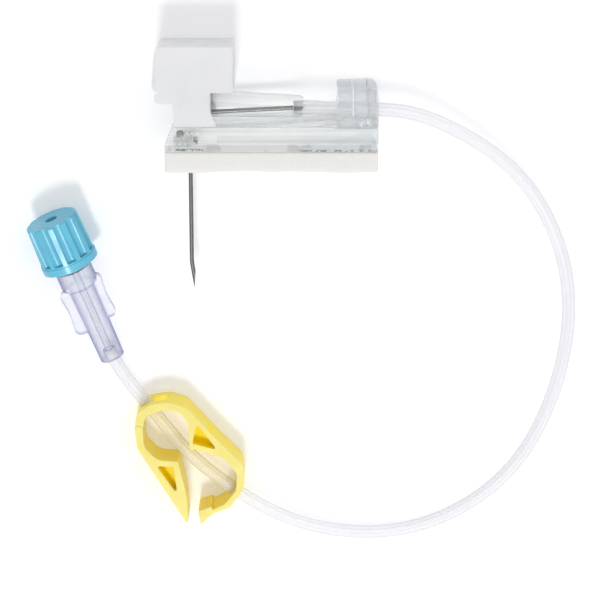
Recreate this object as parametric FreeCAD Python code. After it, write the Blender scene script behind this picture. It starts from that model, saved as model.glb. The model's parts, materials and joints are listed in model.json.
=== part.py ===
import FreeCAD, Part
import math
import os

from FreeCAD import Vector

# Safety needle infusion set, lying on its side as it rests on a table, in millimetres.
# +X runs along the guard pad away from the needle, +Y runs from the needle's tip to the grip,
# +Z is up from the table.  The origin is the middle of the needle assembly's footprint.

# Guard housing and pad
PAD_LENGTH = 43.7
PAD_WIDTH = 14.0
PAD_BOTTOM = -0.5
PAD_THICK = 4.59
PAD_LEFT = -20.45
PAD_EDGE_SLANT = 0.35
PLATE_THICK = 1.2
WALL = 1.3
WALL_TOP = 9.05
WALL_TOP_REAR = 8.85
WALL_FOOT = 1.0
WALL_SLANT = 1.65
REAR_STEP = 9.05
REAR_STEP_SLANT = 0.3
EDGE_ROUND = 0.3
END_WALL = 1.05
END_WALL_TOP = 8.3

# Needle
NEEDLE_X = -15.5
NEEDLE_R = 0.45
NEEDLE_BORE_R = 0.28
NEEDLE_LEG_END = (5.85, 12.03)
NEEDLE_LEG_SLOPE = 2.9
NEEDLE_BEND_R = 2.6
NEEDLE_DROP = 19.57
TIP_TURN = 9.2
TIP_TURN_R = 8.0
TIP_STRAIGHT = 5.1
BEVEL = 13.5
NEEDLE_FIT = 0.02

# Folding linkage: the hub pivot and the guard pivot lie one above the other on a line parallel
# to the needle, and the elbow is equally far from both, so the guard runs straight down it.
PIVOT_X = -17.2
ELBOW_INSET = 3.49
ELBOW_Y = 10.5
PIVOT_OFFSET = 2.7
PIVOT_R = 0.75
ELBOW_R = 1.15
PIVOT_FIT = 0.06
LAYER_GAP = 0.2
EYE_CLEAR = 0.25
ARM_THICK = 1.2
UPPER_HALF = 1.25
UPPER_EYE_R = 1.65
LOWER_HALF = 1.1
LOWER_EYE_R = 1.55
ELBOW_EYE_R = 1.9
STUB_SHY = 0.2
STUB_ROOT = 0.1
WEB_FROM = 7.2
WEB_SHORT = 4.0
WEB_THICK = 1.0

# Rear cheeks, with their grooves placed in from the rear end
CHEEK_LENGTH = 8.5
CHEEK_BOTTOM = 9.05
CHEEK_TOP = 17.2
CHEEK_CORNER = 1.7
CHEEK_WAIST = 12.6
CHEEK_SHOULDER = 14.6
CHEEK_LEAN = 0.5
CHEEK_TOP_DROP = 0.4
GROOVE_INSETS = (5.05, 1.95)
GROOVE_WIDE = 0.5
GROOVE_DEEP = 0.2
BAR_TOP = 10.15
BAR_WIDE = 1.1
BAR_SHY = 0.5

# Grip
GRIP_THICK = 14.0
GRIP_LOW = 16.2
GRIP_HEIGHT = 9.3
GRIP_LEFT = -22.15
GRIP_LEAN = 0.85
GRIP_RIGHT = -6.35
GRIP_CORNER = 1.6
LIP = (-22.4, -18.1, 13.9, 16.4)
LIP_CORNER = 1.1
LIP_BITE = 0.5
NECK = (-18.5, -11.0)
NECK_BOTTOM = 8.35
NECK_WALL_BOTTOM = 9.2
NECK_FLARE = 1.3
NECK_FLARE_RISE = 3.0
NECK_SHELF = 15.0
NECK_TOP = 16.4
DIMPLE = (-22.35, 18.7)
DIMPLE_R = 0.35
DIMPLE_DEEP = 0.2

# Hub
HUB_RIGHT = 7.9
HUB_LEFT_R = 2.85
HUB_RIGHT_R = 2.25
HUB_LEFT_Y = 12.95
HUB_RIGHT_Y = 12.4
HUB_ROUND = 0.7

# Tip clip
CLIP_THICK = 0.25
CLIP_LEFT = -19.0
CLIP_RIGHT = -13.2
CLIP_HALF_WIDTH = 2.0
CLIP_TOP = 7.75
CLIP_CHEEK = (-18.4, -14.6)
CLIP_CHEEK_TOP = 7.3
CLIP_REACH = 0.15
SLOT_CLEAR = 0.15

# Tubing: corner points of its centreline, each corner rounded by an arc
TUBE_R = 1.4
TUBE_FIT = 0.06
TUBE_SEAT = 2.0
TUBE_END_GAP = 0.1
TUBE_POINTS = [
    (6.0, 12.07, 7.0), (20.0, 12.07, 7.0), (34.5, 10.7, 6.5), (55.0, -2.7, 2.6),
    (65.5, -24.5, 1.45), (64.2, -48.3, 1.45), (53.6, -71.2, 1.45), (32.2, -84.1, 1.45),
    (6.9, -82.2, 2.9), (-14.5, -67.6, 4.0), (-24.3, -55.0, 3.6), (-32.07, -45.56, 2.19),
    (-33.78, -40.98, 2.9),
]

# Luer connector, measured along its own axis from the tubing end
LUER_END = (-33.11, -42.78)
LUER_HEADING = 110.5
SOCKET_R = 2.65
STEM_R = 2.9
NECK_R = 4.0
SHOULDER_AT = 17.4
SHOULDER_RISE = 0.7
LUER_BODY_TO = 22.0
THREAD_R = 3.0
THREAD_TO = 30.4
LUG_R = 3.85
LUG_WIDE = 2.2
LUG_LONG = 1.6
LUER_BORE_R = 2.15
LUER_BORE_FROM = 21.4
FLUID_R = 0.8
WING_FROM = 7.3
WING_LENGTH = 10.4
WING_STAGGER = 1.6
WING_LEFT = 5.2
WING_RIGHT = 4.9
WING_WAIST = 0.6
WING_WAIST_R = 9.0
WING_LOBE_R = 1.3
WING_THICK = 1.5

# Luer cap
CAP_FROM = 23.2
CAP_LENGTH = 10.6
CAP_TOP_R = 5.6
CAP_SKIRT_R = 6.1
CAP_SKIRT_LENGTH = 1.5
CAP_CAVITY_R = 4.5
CAP_ROOF = 1.6
CAP_FLUTES = 12
CAP_FLUTE_R = 1.15
CAP_FLUTE_DEPTH = 0.5
CAP_HOLE_R = 1.3
CAP_HOLE_DEPTH = 5.0
CAP_PLUG_R = 1.95
CAP_PLUG_LENGTH = 6.0

# Pinch clamp: outlines in the plan, each corner with its rounding radius
CLAMP_WIDTH = 8.0
CLAMP_POCKET = 2.6
CLAMP_WALL = 1.75
CLAMP_PIVOT = (-27.375, -57.72)
CLAMP_PIVOT_GAP = 0.06
CLAMP_PASS_FIT = 0.12
CLAMP_WINDOW = (-26.0, -21.3, -54.9, -51.0)
CLAMP_WINDOW_Z = (2.0, 5.6)
FRAME_OUTLINE = [
    (-28.25, -57.7, 0), (-27.9, -54.3, 2.6), (-24.9, -52.1, 3.0), (-20.9, -51.5, 5.0),
    (-17.3, -52.6, 3.0), (-10.3, -60.4, 12.0), (-5.2, -65.6, 3.0), (-4.8, -71.0, 4.0),
    (-7.9, -75.4, 3.0), (-11.5, -76.7, 6.0), (-14.35, -79.4, 0.3), (-14.8, -76.3, 0.2),
    (-12.0, -75.3, 0.15), (-11.65, -75.95, 0.15), (-9.1, -74.7, 2.0), (-6.6, -71.7, 2.0),
    (-6.3, -67.6, 2.5), (-9.3, -64.1, 3.0), (-15.0, -62.2, 1.0), (-16.5, -62.0, 0.45),
    (-16.75, -56.2, 1.6), (-18.5, -53.7, 3.0), (-22.0, -53.1, 4.5), (-26.0, -54.6, 3.6),
    (-26.5, -57.7, 0),
]
FRAME_POCKET = [(-14.9, -56.3, 0.35), (-15.9, -60.8, 0.35), (-10.5, -62.3, 0.35)]
JAW_OUTLINE = [
    (-28.25, -57.7, 0), (-26.5, -57.7, 0), (-26.4, -61.4, 3.0), (-23.6, -64.6, 3.5),
    (-19.0, -64.9, 0.4), (-17.3, -73.0, 3.0), (-16.95, -79.7, 0.3), (-27.75, -62.0, 3.5),
]
JAW_POCKET = [(-23.7, -65.9, 0.35), (-20.1, -66.1, 0.35), (-19.2, -72.7, 0.35)]

MID_Z = PAD_WIDTH / 2
UP = Vector(0, 0, 1)


def rounded_wire(points, z=0.0):
    """Closed outline through (x, y, radius) corners, each rounded by a tangent arc."""
    count = len(points)
    corners = [Vector(x, y, z) for x, y, _ in points]
    legs = []
    for i in range(count):
        here, before, after = corners[i], corners[i - 1], corners[(i + 1) % count]
        to_before, to_after = (before - here), (after - here)
        half = to_before.getAngle(to_after) / 2
        room = 0.49 * min(to_before.Length, to_after.Length)
        leg = min(points[i][2] / math.tan(half), room) if points[i][2] else 0.0
        legs.append((leg, half, to_before.normalize(), to_after.normalize()))
    edges = []
    for i in range(count):
        leg, half, to_before, to_after = legs[i]
        here = corners[i]
        start, stop = here + to_before * leg, here + to_after * leg
        if leg:
            radius = leg * math.tan(half)
            bisector = (to_before + to_after).normalize()
            middle = here + bisector * (radius / math.sin(half) - radius)
            edges.append(Part.Arc(start, middle, stop).toShape())
        next_leg = legs[(i + 1) % count][0]
        target = corners[(i + 1) % count] + legs[(i + 1) % count][2] * next_leg
        if (target - stop).Length > 1e-6:
            edges.append(Part.makeLine(stop, target))
    return Part.Wire(edges)


def slab(points, low, high):
    """Upright slab over a rounded outline, from height low to height high."""
    return Part.Face(rounded_wire(points, low)).extrude(Vector(0, 0, high - low))


def block(x0, x1, y0, y1, z0, z1):
    return Part.makeBox(x1 - x0, y1 - y0, z1 - z0, Vector(x0, y0, z0))


def disc(centre, radius, low, high):
    return Part.makeCylinder(radius, high - low, Vector(centre[0], centre[1], low), UP)


def both_sides(shape):
    """A shape and its mirror image across the middle plane of the pad."""
    return shape.fuse(shape.mirror(Vector(0, 0, MID_Z), UP))


def union(shapes):
    return shapes[0].fuse(shapes[1:]).removeSplitter()


def bar(start, stop, half, low, high):
    """Straight bar between two pivot centres."""
    run = Vector(stop[0] - start[0], stop[1] - start[1], 0)
    side = Vector(-run.y, run.x, 0).normalize() * half
    a, b = Vector(start[0], start[1], low), Vector(stop[0], stop[1], low)
    face = Part.Face(Part.makePolygon([a + side, b + side, b - side, a - side, a + side]))
    return face.extrude(Vector(0, 0, high - low))


def sweep(path, radius, start, heading):
    ring = Part.Wire(Part.makeCircle(radius, start, heading))
    return path.makePipe(Part.Face(ring))


pad_right = PAD_LEFT + PAD_LENGTH
elbow = (pad_right - ELBOW_INSET, ELBOW_Y)
hub_pivot = (PIVOT_X, ELBOW_Y + PIVOT_OFFSET)
guard_pivot = (PIVOT_X, ELBOW_Y - PIVOT_OFFSET)
pad_top = PAD_BOTTOM + PAD_THICK
plate_top = pad_top + PLATE_THICK
upper_z = (WALL + LAYER_GAP, WALL + LAYER_GAP + ARM_THICK)
lower_z = (upper_z[1] + LAYER_GAP, upper_z[1] + LAYER_GAP + ARM_THICK)
core_z = (lower_z[1] + LAYER_GAP, PAD_WIDTH - lower_z[1] - LAYER_GAP)


# Needle path: leg, bend, shaft, slight turn towards +X, tip
slope = math.radians(NEEDLE_LEG_SLOPE)
leg_end = Vector(NEEDLE_LEG_END[0], NEEDLE_LEG_END[1], MID_Z)
leg_way = Vector(-math.cos(slope), -math.sin(slope), 0)
corner = leg_end + leg_way * ((leg_end.x - NEEDLE_X) / math.cos(slope))
bend_leg = NEEDLE_BEND_R * math.tan((math.pi / 2 - slope) / 2)
bend_in = corner - leg_way * bend_leg
bend_out = corner + Vector(0, -bend_leg, 0)
bisector = (Vector(0, -1, 0) - leg_way).normalize()
bend_half = (math.pi / 2 + slope) / 2
bend_mid = corner + bisector * (NEEDLE_BEND_R / math.sin(bend_half) - NEEDLE_BEND_R)
shaft_end = Vector(NEEDLE_X, PAD_BOTTOM - NEEDLE_DROP, MID_Z)
turn = math.radians(TIP_TURN)
turn_centre = shaft_end + Vector(TIP_TURN_R, 0, 0)


def on_turn(angle):
    return turn_centre + Vector(-math.cos(angle), -math.sin(angle), 0) * TIP_TURN_R


turn_end = on_turn(turn)
tip_way = Vector(math.sin(turn), -math.cos(turn), 0)
tip = turn_end + tip_way * TIP_STRAIGHT
shaft_edges = [
    Part.makeLine(bend_out, shaft_end),
    Part.Arc(shaft_end, on_turn(turn / 2), turn_end).toShape(),
    Part.makeLine(turn_end, tip),
]
shaft_path = Part.Wire(shaft_edges)
needle_path = Part.Wire([
    Part.makeLine(leg_end, bend_in), Part.Arc(bend_in, bend_mid, bend_out).toShape(),
] + shaft_edges)


def make_needle():
    body = sweep(needle_path, NEEDLE_R, leg_end, leg_way)
    body = body.cut(sweep(shaft_path, NEEDLE_BORE_R, bend_out, Vector(0, -1, 0)))
    point = tip - Vector(math.cos(turn), math.sin(turn), 0) * NEEDLE_R
    angle = turn - math.radians(BEVEL)
    along = Vector(-math.sin(angle), math.cos(angle), 0)
    reach = 4 * NEEDLE_R / math.sin(math.radians(BEVEL))
    across = Vector(along.y, -along.x, 0) * reach
    low, far = point - along * reach - UP, point + along * reach - UP
    wedge = Part.Face(Part.makePolygon([low, far, far + across, low + across, low]))
    return body.cut(wedge.extrude(UP * 2))


def make_hub():
    left, right = Vector(NECK[1], HUB_LEFT_Y, MID_Z), Vector(HUB_RIGHT, HUB_RIGHT_Y, MID_Z)
    way = right - left
    length = way.Length
    way.normalize()
    turned = FreeCAD.Rotation(UP, way)
    over = NEEDLE_R
    profile = [(0, -over), (HUB_LEFT_R, -over), (HUB_RIGHT_R, length - HUB_ROUND),
               (HUB_RIGHT_R - HUB_ROUND / 2, length), (0, length)]
    body = Part.Face(Part.makePolygon([Vector(r, 0, s) for r, s in profile + profile[:1]]))
    body = body.revolve(Vector(0, 0, 0), UP, 360)
    body.Placement = FreeCAD.Placement(left, turned)
    reach = HUB_LEFT_R + over
    seat_plane = block(left.x - reach, left.x, left.y - reach, left.y + reach, 0, PAD_WIDTH)
    bore = Part.makeCylinder(NEEDLE_R + NEEDLE_FIT, HUB_RIGHT - NECK[1], leg_end - leg_way, leg_way)
    mouth = Vector(*TUBE_POINTS[0]) - Vector(TUBE_END_GAP, 0, 0)
    seat = Part.makeCylinder(TUBE_R + TUBE_FIT, HUB_RIGHT - mouth.x + 1, mouth, Vector(1, 0, 0))
    return body.cut(seat_plane).cut(bore).cut(seat)


def make_grip():
    half = GRIP_THICK / 2
    top = GRIP_LOW + GRIP_HEIGHT
    plate = slab([
        (GRIP_LEFT, top, GRIP_CORNER), (GRIP_LEFT - GRIP_LEAN, GRIP_LOW, GRIP_CORNER),
        (GRIP_RIGHT, GRIP_LOW, EDGE_ROUND), (GRIP_RIGHT, top, EDGE_ROUND),
    ], MID_Z - half, MID_Z + half)
    x0, x1, y0, y1 = LIP
    lip = slab([(x0, y0, LIP_CORNER), (x1 + LIP_BITE, y0, 0), (x1 + LIP_BITE, y1, 0),
                (x0, y1, LIP_CORNER)], 0, PAD_WIDTH)
    n0, n1 = NECK
    core = block(n0, n1, NECK_BOTTOM, NECK_TOP, core_z[0], core_z[1])
    shelf = block(n0, n1, NECK_SHELF, NECK_TOP, 0, PAD_WIDTH)
    flank = slab([
        (n0, NECK_WALL_BOTTOM, EDGE_ROUND), (n1 + NECK_FLARE, NECK_WALL_BOTTOM, EDGE_ROUND),
        (n1, NECK_WALL_BOTTOM + NECK_FLARE_RISE, NECK_FLARE), (n1, NECK_TOP, 0),
        (n0, NECK_TOP, 0),
    ], 0, WALL)
    room = disc(hub_pivot, UPPER_EYE_R + EYE_CLEAR, WALL, lower_z[0])
    stub = disc(hub_pivot, PIVOT_R, WALL / 2, core_z[0] + STUB_ROOT)
    body = union([plate, lip, core, shelf, both_sides(flank)]).cut(both_sides(room))
    body = union([body, both_sides(stub)])
    slit = NEEDLE_R + NEEDLE_FIT
    top_y = bend_in.y + slit + (n1 - bend_in.x) * math.tan(slope)
    body = body.cut(block(NEEDLE_X - slit, n1 + WALL, NECK_BOTTOM - WALL, top_y,
                          MID_Z - slit, MID_Z + slit))
    dimple = disc(DIMPLE, DIMPLE_R, MID_Z + half - DIMPLE_DEEP, MID_Z + half + 1)
    return body.cut(dimple)


def make_upper_arm():
    left = pad_right - CHEEK_LENGTH
    rail = bar(hub_pivot, (elbow[0], elbow[1] + UPPER_HALF / 4), UPPER_HALF, *upper_z)
    eye = disc(hub_pivot, UPPER_EYE_R, *upper_z)
    cheek = slab([
        (left, CHEEK_BOTTOM, EDGE_ROUND), (pad_right, CHEEK_BOTTOM, EDGE_ROUND),
        (pad_right, CHEEK_TOP, CHEEK_CORNER), (left, CHEEK_TOP - CHEEK_TOP_DROP, CHEEK_LEAN),
        (left + CHEEK_LEAN, CHEEK_SHOULDER, CHEEK_LEAN), (left, CHEEK_WAIST, CHEEK_LEAN),
    ], 0, upper_z[1])
    side = union([rail, eye, cheek])
    side = side.cut(disc(hub_pivot, PIVOT_R + PIVOT_FIT, 0, PAD_WIDTH))
    side = side.cut(disc(elbow, ELBOW_R + PIVOT_FIT, -1, PAD_WIDTH))
    for inset in GROOVE_INSETS:
        x = pad_right - inset
        side = side.cut(block(x, x + GROOVE_WIDE, CHEEK_WAIST, CHEEK_TOP, -1, GROOVE_DEEP))
    tie = block(pad_right - BAR_WIDE, pad_right, CHEEK_BOTTOM, BAR_TOP,
                BAR_SHY, PAD_WIDTH - BAR_SHY)
    return union([side, side.mirror(Vector(0, 0, MID_Z), UP), tie])


def make_lower_arm():
    run = Vector(elbow[0] - guard_pivot[0], elbow[1] - guard_pivot[1], 0)
    reach = run.Length
    run.normalize()
    side = Vector(-run.y, run.x, 0)
    rail = bar(guard_pivot, elbow, LOWER_HALF, *lower_z)
    near_eye = disc(guard_pivot, LOWER_EYE_R, *lower_z)
    far_eye = disc(elbow, ELBOW_EYE_R, *lower_z)
    near_stub = disc(guard_pivot, PIVOT_R, STUB_SHY, lower_z[0] + STUB_ROOT)
    far_stub = disc(elbow, ELBOW_R, STUB_SHY, lower_z[0] + STUB_ROOT)
    half = both_sides(union([rail, near_eye, far_eye, near_stub, far_stub]))
    base = Vector(guard_pivot[0], guard_pivot[1], 0) - side * (LOWER_HALF - WEB_THICK / 2)
    a, b = base + run * WEB_FROM, base + run * (reach - WEB_SHORT)
    web = bar((a.x, a.y), (b.x, b.y), WEB_THICK / 2, lower_z[0], PAD_WIDTH - lower_z[0])
    return union([half, web])


def needle_slot(extra, low, high):
    """Oval passage that lets the bent tip through, centred on the needle's swing."""
    left, right = NEEDLE_X, tip.x
    radius = NEEDLE_R + SLOT_CLEAR + extra
    way = Vector(0, 1, 0)
    ends = [Part.makeCylinder(radius, high - low, Vector(x, low, MID_Z), way) for x in (left, right)]
    return union(ends + [block(left, right, low, high, MID_Z - radius, MID_Z + radius)])


def make_base():
    plate = block(PAD_LEFT, pad_right, pad_top, plate_top, 0, PAD_WIDTH)
    step = pad_right - REAR_STEP
    wall = slab([
        (PAD_LEFT, pad_top, 0), (pad_right, pad_top, 0), (pad_right, WALL_TOP_REAR, EDGE_ROUND),
        (step, WALL_TOP_REAR, EDGE_ROUND), (step - REAR_STEP_SLANT, WALL_TOP, EDGE_ROUND),
        (PAD_LEFT + WALL_SLANT, WALL_TOP, EDGE_ROUND), (PAD_LEFT, pad_top + WALL_FOOT, EDGE_ROUND),
    ], 0, WALL)
    wall = wall.cut(disc(guard_pivot, PIVOT_R + PIVOT_FIT, -1, WALL + 1))
    end = block(pad_right - END_WALL, pad_right, pad_top, END_WALL_TOP, 0, PAD_WIDTH)
    body = union([plate, wall, wall.mirror(Vector(0, 0, MID_Z), UP), end])
    return body.cut(needle_slot(0, pad_top - 1, plate_top + 1))


def make_pad():
    body = slab([
        (PAD_LEFT, PAD_BOTTOM, EDGE_ROUND), (pad_right - PAD_EDGE_SLANT, PAD_BOTTOM, EDGE_ROUND),
        (pad_right, pad_top, 0), (PAD_LEFT, pad_top, 0),
    ], 0, PAD_WIDTH)
    return body.cut(needle_slot(0.1, PAD_BOTTOM - 1, pad_top + 1))


def make_clip():
    low = plate_top
    z0, z1 = MID_Z - CLIP_HALF_WIDTH, MID_Z + CLIP_HALF_WIDTH
    foot = block(CLIP_LEFT, CLIP_RIGHT, low, low + CLIP_THICK, z0, z1)
    post = block(CLIP_RIGHT - CLIP_THICK, CLIP_RIGHT, low, CLIP_TOP, z0, z1)
    reach = tip.x + NEEDLE_R + CLIP_REACH
    leaf = block(reach, CLIP_RIGHT, CLIP_TOP - CLIP_THICK, CLIP_TOP, z0, z1)
    cheek = block(CLIP_CHEEK[0], CLIP_CHEEK[1], low, CLIP_CHEEK_TOP, z0, z0 + CLIP_THICK)
    body = union([foot, post, leaf, both_sides(cheek)])
    return body.cut(needle_slot(0.05, low - 1, low + 1))


def tube_wire():
    """Centreline of straight runs joined by tangent arcs."""
    pts = [Vector(*p) for p in TUBE_POINTS]
    edges = []
    here = pts[0]
    for i in range(1, len(pts) - 1):
        back, ahead = pts[i - 1] - pts[i], pts[i + 1] - pts[i]
        shorter = min(back.Length, ahead.Length)
        half = back.getAngle(ahead) / 2
        leg = 0.45 * shorter
        radius = leg * math.tan(half)
        back.normalize()
        ahead.normalize()
        start, stop = pts[i] + back * leg, pts[i] + ahead * leg
        bisector = (back + ahead).normalize()
        middle = pts[i] + bisector * (radius / math.sin(half) - radius)
        edges.append(Part.makeLine(here, start))
        edges.append(Part.Arc(start, middle, stop).toShape())
        here = stop
    edges.append(Part.makeLine(here, pts[-1]))
    return Part.Wire(edges)


tube_path = tube_wire()


def tube_solid(radius):
    start = Vector(*TUBE_POINTS[0])
    return sweep(tube_path, radius, start, Vector(1, 0, 0))


def make_tubing():
    return tube_solid(TUBE_R)


def luer_placement():
    """Local +Z runs along the connector, from the tubing end to the cap; local X lies level."""
    rise = math.asin((CAP_SKIRT_R - SOCKET_R) / (CAP_FROM + CAP_SKIRT_LENGTH / 2))
    turned = FreeCAD.Rotation(Vector(0, 0, 1), LUER_HEADING - 90)
    tipped = FreeCAD.Rotation(Vector(1, 0, 0), math.degrees(rise) - 90)
    start = Vector(LUER_END[0], LUER_END[1], SOCKET_R * math.cos(rise))
    return FreeCAD.Placement(start, turned.multiply(tipped)), rise


def tube_on_axis(radius, low, high):
    return Part.makeCylinder(radius, high - low, Vector(0, 0, low), UP)


def make_connector():
    profile = [
        (0, 0), (SOCKET_R, 0), (STEM_R, SHOULDER_AT), (NECK_R, SHOULDER_AT + SHOULDER_RISE),
        (NECK_R, LUER_BODY_TO), (THREAD_R, LUER_BODY_TO), (THREAD_R, THREAD_TO), (0, THREAD_TO),
    ]
    body = Part.Face(Part.makePolygon([Vector(r, 0, s) for r, s in profile + profile[:1]]))
    body = body.revolve(Vector(0, 0, 0), UP, 360)
    low, high = WING_FROM, WING_FROM + WING_LENGTH
    middle = (low + high) / 2
    further = WING_STAGGER
    wing = [
        (-WING_LEFT, low, WING_LOBE_R), (0, low, 0), (0, low + further, 0),
        (WING_RIGHT, low + further, WING_LOBE_R),
        (WING_RIGHT - WING_WAIST, middle + further, WING_WAIST_R),
        (WING_RIGHT, high + further, WING_LOBE_R), (0, high + further, 0), (0, high, 0),
        (-WING_LEFT, high, WING_LOBE_R), (WING_WAIST - WING_LEFT, middle, WING_WAIST_R),
    ]
    wing = Part.Face(rounded_wire(wing)).extrude(Vector(0, 0, WING_THICK))
    wing.translate(Vector(0, 0, -WING_THICK / 2))
    wing.rotate(Vector(0, 0, 0), Vector(1, 0, 0), 90)
    lugs = [block(-LUG_R, LUG_R, -LUG_WIDE / 2, LUG_WIDE / 2, THREAD_TO - LUG_LONG, THREAD_TO)]
    lugs[0] = lugs[0].common(tube_on_axis(LUG_R, 0, THREAD_TO))
    body = union([body, wing] + lugs)
    body = body.cut(tube_on_axis(FLUID_R, 1, LUER_BORE_FROM + 1))
    body = body.cut(tube_on_axis(LUER_BORE_R, LUER_BORE_FROM, THREAD_TO + 1))
    return body.cut(tube_on_axis(TUBE_R + TUBE_FIT, -1, TUBE_SEAT))


def make_cap():
    top = CAP_FROM + CAP_LENGTH
    step = CAP_FROM + CAP_SKIRT_LENGTH
    profile = [
        (0, CAP_FROM), (CAP_SKIRT_R, CAP_FROM), (CAP_SKIRT_R, step), (CAP_SKIRT_R - 0.15, step),
        (CAP_TOP_R, top - 0.3), (CAP_TOP_R - 0.3, top), (0, top),
    ]
    body = Part.Face(Part.makePolygon([Vector(r, 0, s) for r, s in profile + profile[:1]]))
    body = body.revolve(Vector(0, 0, 0), UP, 360)
    for i in range(CAP_FLUTES):
        angle = 2 * math.pi * (i + 0.5) / CAP_FLUTES
        out = Vector(math.cos(angle), math.sin(angle), 0)
        start = out * (CAP_TOP_R + CAP_FLUTE_R - CAP_FLUTE_DEPTH) + UP * (step + 0.4)
        body = body.cut(Part.makeCylinder(CAP_FLUTE_R, CAP_LENGTH, start, UP))
    body = body.cut(tube_on_axis(CAP_CAVITY_R, CAP_FROM - 1, top - CAP_ROOF))
    plug_low = top - CAP_ROOF - CAP_PLUG_LENGTH
    plug = Part.makeCone(CAP_PLUG_R - 0.2, CAP_PLUG_R, CAP_PLUG_LENGTH + 0.2, Vector(0, 0, plug_low), UP)
    body = union([body, plug])
    return body.cut(tube_on_axis(CAP_HOLE_R, top - CAP_HOLE_DEPTH, top + 1))


def pocketed(outline, pocket):
    body = slab(outline, 0, CLAMP_WIDTH)
    for low in (-1, CLAMP_WIDTH - CLAMP_POCKET):
        body = body.cut(slab(pocket, low, low + CLAMP_POCKET + 1))
    return body


def make_clamp_frame():
    body = pocketed(FRAME_OUTLINE, FRAME_POCKET)
    x0, x1, y0, y1 = CLAMP_WINDOW
    body = body.cut(block(x0, x1, y0, y1, *CLAMP_WINDOW_Z))
    knuckle = disc(CLAMP_PIVOT, CLAMP_WALL / 2 + CLAMP_PIVOT_GAP, -1, CLAMP_WIDTH + 1)
    return body.cut(knuckle).cut(tube_solid(TUBE_R + CLAMP_PASS_FIT))


def make_clamp_jaw():
    knuckle = disc(CLAMP_PIVOT, CLAMP_WALL / 2, 0, CLAMP_WIDTH)
    return union([pocketed(JAW_OUTLINE, JAW_POCKET), knuckle])


os.makedirs("parts", exist_ok=True)
luer_place, luer_rise = luer_placement()
connector, cap = make_connector(), make_cap()
connector.Placement = luer_place
cap.Placement = luer_place

nodes = {
    "needle_cannula": make_needle(),
    "needle_hub": make_hub(),
    "grip_handle": make_grip(),
    "upper_arm": make_upper_arm(),
    "lower_arm": make_lower_arm(),
    "base_platform": make_base(),
    "foam_pad": make_pad(),
    "tip_clip": make_clip(),
    "tubing": make_tubing(),
    "clamp_frame": make_clamp_frame(),
    "clamp_jaw": make_clamp_jaw(),
    "luer_connector": connector,
    "luer_cap": cap,
}
for name, shape in nodes.items():
    if shape.ShapeType != "Solid" and len(shape.Solids) == 1:
        shape = shape.Solids[0]
    box = shape.BoundBox
    print(name, len(shape.Solids), "solid, valid", shape.isValid(), "volume", round(shape.Volume, 2),
          [round(v, 2) for v in (box.XMin, box.XMax, box.YMin, box.YMax, box.ZMin, box.ZMax)])
    shape.exportStep("parts/" + name + ".step")

tube_area = math.pi * TUBE_R ** 2
print("tube length", round(tube_path.Length, 2), "volume by length",
      round(tube_path.Length * tube_area, 2), "luer rise", round(math.degrees(luer_rise), 3))
way = luer_place.Rotation.multVec(UP)
print("luer axis", [round(v, 6) for v in (way.x, way.y, way.z)])
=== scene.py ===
"""Looks of a safety needle infusion set: finishes, soft pieces, tubing and a plain studio."""

import json
import math

import bpy
import numpy as np
from bpy.props import FloatProperty, FloatVectorProperty, PointerProperty
from mathutils import Matrix, Vector

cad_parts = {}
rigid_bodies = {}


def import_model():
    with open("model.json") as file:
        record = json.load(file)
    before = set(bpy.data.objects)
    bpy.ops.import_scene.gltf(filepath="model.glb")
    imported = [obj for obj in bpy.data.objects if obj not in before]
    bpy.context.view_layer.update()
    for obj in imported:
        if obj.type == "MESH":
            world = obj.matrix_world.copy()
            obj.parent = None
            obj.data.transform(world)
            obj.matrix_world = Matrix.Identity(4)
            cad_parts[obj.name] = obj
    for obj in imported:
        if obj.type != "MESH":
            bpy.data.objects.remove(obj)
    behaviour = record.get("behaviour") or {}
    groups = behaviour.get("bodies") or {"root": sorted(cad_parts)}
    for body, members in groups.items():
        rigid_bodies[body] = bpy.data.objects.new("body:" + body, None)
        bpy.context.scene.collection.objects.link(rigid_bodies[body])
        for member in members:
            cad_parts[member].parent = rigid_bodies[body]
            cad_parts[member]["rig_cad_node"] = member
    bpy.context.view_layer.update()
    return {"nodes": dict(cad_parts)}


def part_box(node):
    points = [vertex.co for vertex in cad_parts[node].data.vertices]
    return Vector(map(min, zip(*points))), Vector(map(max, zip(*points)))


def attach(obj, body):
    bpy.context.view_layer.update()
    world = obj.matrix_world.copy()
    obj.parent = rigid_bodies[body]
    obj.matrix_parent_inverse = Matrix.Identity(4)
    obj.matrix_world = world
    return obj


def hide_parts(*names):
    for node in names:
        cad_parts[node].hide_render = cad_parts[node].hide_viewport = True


bl_info = {
    "name": "Safety needle infusion set",
    "version": (1, 0, 0),
    "blender": (4, 5, 0),
    "location": "3D View > Sidebar > Needle set",
    "description": "Finishes, foam pad, tubing, cap and studio for a safety needle infusion set",
    "category": "Object",
}

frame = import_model()
nodes = frame["nodes"]
MM = 0.001

# Corner points of the tubing's route, in metres, from the hub to the luer connector
TUBE_ROUTE = [
    (0.006, 0.01207, 0.007), (0.020, 0.01207, 0.007), (0.0345, 0.0107, 0.0065),
    (0.055, -0.0027, 0.0026), (0.0655, -0.0245, 0.00145), (0.0642, -0.0483, 0.00145),
    (0.0536, -0.0712, 0.00145), (0.0322, -0.0841, 0.00145), (0.0069, -0.0822, 0.0029),
    (-0.0145, -0.0676, 0.004), (-0.0243, -0.055, 0.0036), (-0.03207, -0.04556, 0.00219),
    (-0.03378, -0.04098, 0.0029),
]
TUBE_SIDES = 28
ROUTE_STEPS = 16
LINE_BODY = "needle_and_line"
GUARD_BODY = "guard"


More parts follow.
